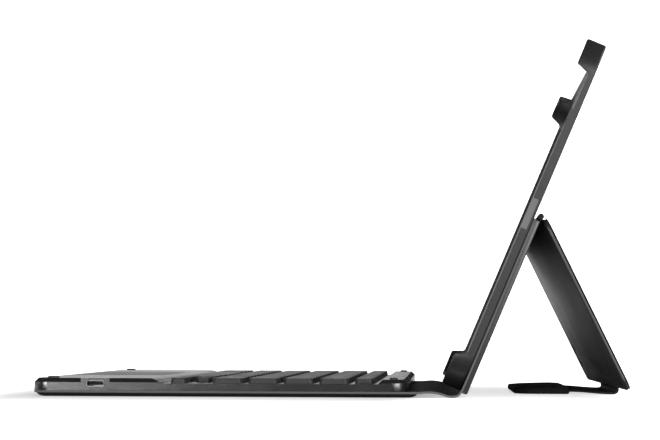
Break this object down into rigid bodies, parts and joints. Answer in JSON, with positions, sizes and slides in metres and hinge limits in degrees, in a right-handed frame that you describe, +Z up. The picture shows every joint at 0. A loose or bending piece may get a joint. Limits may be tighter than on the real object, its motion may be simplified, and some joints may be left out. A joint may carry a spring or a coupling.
{
  "type": "tablet keyboard case",
  "caption": "Folio keyboard case with a clip-in tablet shell, soft spine, fold-out stand flap and magnetic closing tab.",
  "frame": {"origin": "middle of the keyboard's underside, on the floor", "axes": "+X to the user's right, +Y back from the user, +Z up"},
  "size_m": [0.252, 0.2908, 0.175],
  "materials": {
    "leather": "fine grain, satin",
    "stiffener": "plain board",
    "carrier": "smooth, with grey cut edges",
    "steel": "brushed",
    "housing": "fine texture",
    "keycap": "fine texture",
    "rubber": "matt",
    "film": "satin",
    "circuit_board": "satin",
    "components": "satin",
    "battery_pouch": "satin",
    "trackpad_surface": "smooth matt",
    "shell": "fine texture",
    "lining": "microfibre",
    "magnet": "plated"
  },
  "bodies": {
    "keyboard": {"base_skin": "leather", "base_board": "stiffener", "base_carrier": "carrier", "catch_plate": "steel", "bottom_case": "housing", "top_case": "housing", "deck_bumpers": "rubber", "key_frame": "housing", "key_support_plate": "steel", "membrane_sheet": "film", "dome_sheet": "rubber", "trackpad_bracket": "steel", "trackpad_switch": "steel", "main_board": "circuit_board", "board_components": "components", "flat_ribbon": "film", "battery": "battery_pouch", "usb_c_socket": "steel"},
    "trackpad": {"trackpad": "trackpad_surface"},
    "spine": {"spine_sheet": "carrier"},
    "holder": {"tablet_shell": "shell", "back_carrier": "carrier", "back_skin": "leather", "back_board": "stiffener", "stand_hinge_roll": "leather"},
    "stand": {"stand_skin": "leather", "stand_board": "stiffener", "stand_lining": "lining"},
    "strap": {"tab_strap": "leather"},
    "tip": {"tab_tip_base": "leather", "tab_tip_cover": "leather", "tab_magnets": "magnet"},
    "backspace_key": {"backspace_key": "keycap"},
    "tab_key": {"tab_key": "keycap"},
    "caps_lock_key": {"caps_lock_key": "keycap"},
    "enter_key": {"enter_key": "keycap"},
    "left_shift_key": {"left_shift_key": "keycap"},
    "right_shift_key": {"right_shift_key": "keycap"},
    "fn_key": {"fn_key": "keycap"},
    "control_key": {"control_key": "keycap"},
    "left_alt_key": {"left_alt_key": "keycap"},
    "left_system_key": {"left_system_key": "keycap"},
    "space_bar": {"space_bar": "keycap"},
    "right_system_key": {"right_system_key": "keycap"},
    "right_alt_key": {"right_alt_key": "keycap"},
    "left_arrow_key": {"left_arrow_key": "keycap"},
    "down_arrow_key": {"down_arrow_key": "keycap"},
    "up_arrow_key": {"up_arrow_key": "keycap"},
    "right_arrow_key": {"right_arrow_key": "keycap"},
    "function_keys": {"function_keys": "keycap"},
    "number_keys": {"number_keys": "keycap"},
    "upper_letter_keys": {"upper_letter_keys": "keycap"},
    "home_letter_keys": {"home_letter_keys": "keycap"},
    "lower_letter_keys": {"lower_letter_keys": "keycap"}
  },
  "joints": [
    {"name": "spine_fold", "type": "hinge", "parent": "keyboard", "child": "spine", "pos_m": [0, 0.0965, 0.00225], "axis": [1, 0, 0], "range_deg": [0, 91.74]},
    {"name": "holder_fold", "type": "hinge", "parent": "spine", "child": "holder", "pos_m": [0, 0.11655, 0.00164], "axis": [1, 0, 0], "range_deg": [-67, 21.26]},
    {"name": "stand_fold", "type": "hinge", "parent": "holder", "child": "stand", "pos_m": [0, 0.15504, 0.08693], "axis": [1, 0, 0], "range_deg": [-12, 131.12]},
    {"name": "tab_fold", "type": "hinge", "parent": "stand", "child": "strap", "pos_m": [0, 0.1992, 0.0006], "axis": [1, 0, 0], "range_deg": [0, 205.88]},
    {"name": "tip_fold", "type": "hinge", "parent": "strap", "child": "tip", "pos_m": [0, 0.17424, 0.0006], "axis": [1, 0, 0], "range_deg": [0, 90]},
    {"name": "trackpad_click", "type": "hinge", "parent": "keyboard", "child": "trackpad", "pos_m": [0, -0.0377, 0.0078], "axis": [1, 0, 0], "range_deg": [0, 0.5], "stiffness_Nm_per_rad": 6, "springref_deg": -0.57},
    {"name": "backspace_key_press", "type": "slide", "parent": "keyboard", "child": "backspace_key", "axis": [0, 0, 1], "range_m": [-0.0013, 0], "stiffness_N_per_m": 400, "springref_m": 0.0005, "deforming": ["dome_sheet"]},
    {"name": "tab_key_press", "type": "slide", "parent": "keyboard", "child": "tab_key", "axis": [0, 0, 1], "range_m": [-0.0013, 0], "stiffness_N_per_m": 400, "springref_m": 0.0005, "deforming": ["dome_sheet"]},
    {"name": "caps_lock_key_press", "type": "slide", "parent": "keyboard", "child": "caps_lock_key", "axis": [0, 0, 1], "range_m": [-0.0013, 0], "stiffness_N_per_m": 400, "springref_m": 0.0005, "deforming": ["dome_sheet"]},
    {"name": "enter_key_press", "type": "slide", "parent": "keyboard", "child": "enter_key", "axis": [0, 0, 1], "range_m": [-0.0013, 0], "stiffness_N_per_m": 400, "springref_m": 0.0005, "deforming": ["dome_sheet"]},
    {"name": "left_shift_key_press", "type": "slide", "parent": "keyboard", "child": "left_shift_key", "axis": [0, 0, 1], "range_m": [-0.0013, 0], "stiffness_N_per_m": 400, "springref_m": 0.0005, "deforming": ["dome_sheet"]},
    {"name": "right_shift_key_press", "type": "slide", "parent": "keyboard", "child": "right_shift_key", "axis": [0, 0, 1], "range_m": [-0.0013, 0], "stiffness_N_per_m": 400, "springref_m": 0.0005, "deforming": ["dome_sheet"]},
    {"name": "fn_key_press", "type": "slide", "parent": "keyboard", "child": "fn_key", "axis": [0, 0, 1], "range_m": [-0.0013, 0], "stiffness_N_per_m": 400, "springref_m": 0.0005, "deforming": ["dome_sheet"]},
    {"name": "control_key_press", "type": "slide", "parent": "keyboard", "child": "control_key", "axis": [0, 0, 1], "range_m": [-0.0013, 0], "stiffness_N_per_m": 400, "springref_m": 0.0005, "deforming": ["dome_sheet"]},
    {"name": "left_alt_key_press", "type": "slide", "parent": "keyboard", "child": "left_alt_key", "axis": [0, 0, 1], "range_m": [-0.0013, 0], "stiffness_N_per_m": 400, "springref_m": 0.0005, "deforming": ["dome_sheet"]},
    {"name": "left_system_key_press", "type": "slide", "parent": "keyboard", "child": "left_system_key", "axis": [0, 0, 1], "range_m": [-0.0013, 0], "stiffness_N_per_m": 400, "springref_m": 0.0005, "deforming": ["dome_sheet"]},
    {"name": "space_bar_press", "type": "slide", "parent": "keyboard", "child": "space_bar", "axis": [0, 0, 1], "range_m": [-0.0013, 0], "stiffness_N_per_m": 400, "springref_m": 0.0005, "deforming": ["dome_sheet"]},
    {"name": "right_system_key_press", "type": "slide", "parent": "keyboard", "child": "right_system_key", "axis": [0, 0, 1], "range_m": [-0.0013, 0], "stiffness_N_per_m": 400, "springref_m": 0.0005, "deforming": ["dome_sheet"]},
    {"name": "right_alt_key_press", "type": "slide", "parent": "keyboard", "child": "right_alt_key", "axis": [0, 0, 1], "range_m": [-0.0013, 0], "stiffness_N_per_m": 400, "springref_m": 0.0005, "deforming": ["dome_sheet"]},
    {"name": "left_arrow_key_press", "type": "slide", "parent": "keyboard", "child": "left_arrow_key", "axis": [0, 0, 1], "range_m": [-0.0013, 0], "stiffness_N_per_m": 400, "springref_m": 0.0005, "deforming": ["dome_sheet"]},
    {"name": "down_arrow_key_press", "type": "slide", "parent": "keyboard", "child": "down_arrow_key", "axis": [0, 0, 1], "range_m": [-0.0013, 0], "stiffness_N_per_m": 400, "springref_m": 0.0005, "deforming": ["dome_sheet"]},
    {"name": "up_arrow_key_press", "type": "slide", "parent": "keyboard", "child": "up_arrow_key", "axis": [0, 0, 1], "range_m": [-0.0013, 0], "stiffness_N_per_m": 400, "springref_m": 0.0005, "deforming": ["dome_sheet"]},
    {"name": "right_arrow_key_press", "type": "slide", "parent": "keyboard", "child": "right_arrow_key", "axis": [0, 0, 1], "range_m": [-0.0013, 0], "stiffness_N_per_m": 400, "springref_m": 0.0005, "deforming": ["dome_sheet"]},
    {"name": "function_keys_press", "type": "slide", "parent": "keyboard", "child": "function_keys", "axis": [0, 0, 1], "range_m": [-0.0013, 0], "stiffness_N_per_m": 5600, "springref_m": 0.0005, "deforming": ["dome_sheet"]},
    {"name": "number_keys_press", "type": "slide", "parent": "keyboard", "child": "number_keys", "axis": [0, 0, 1], "range_m": [-0.0013, 0], "stiffness_N_per_m": 5200, "springref_m": 0.0005, "deforming": ["dome_sheet"]},
    {"name": "upper_letter_keys_press", "type": "slide", "parent": "keyboard", "child": "upper_letter_keys", "axis": [0, 0, 1], "range_m": [-0.0013, 0], "stiffness_N_per_m": 5200, "springref_m": 0.0005, "deforming": ["dome_sheet"]},
    {"name": "home_letter_keys_press", "type": "slide", "parent": "keyboard", "child": "home_letter_keys", "axis": [0, 0, 1], "range_m": [-0.0013, 0], "stiffness_N_per_m": 4400, "springref_m": 0.0005, "deforming": ["dome_sheet"]},
    {"name": "lower_letter_keys_press", "type": "slide", "parent": "keyboard", "child": "lower_letter_keys", "axis": [0, 0, 1], "range_m": [-0.0013, 0], "stiffness_N_per_m": 4000, "springref_m": 0.0005, "deforming": ["dome_sheet"]}
  ]
}
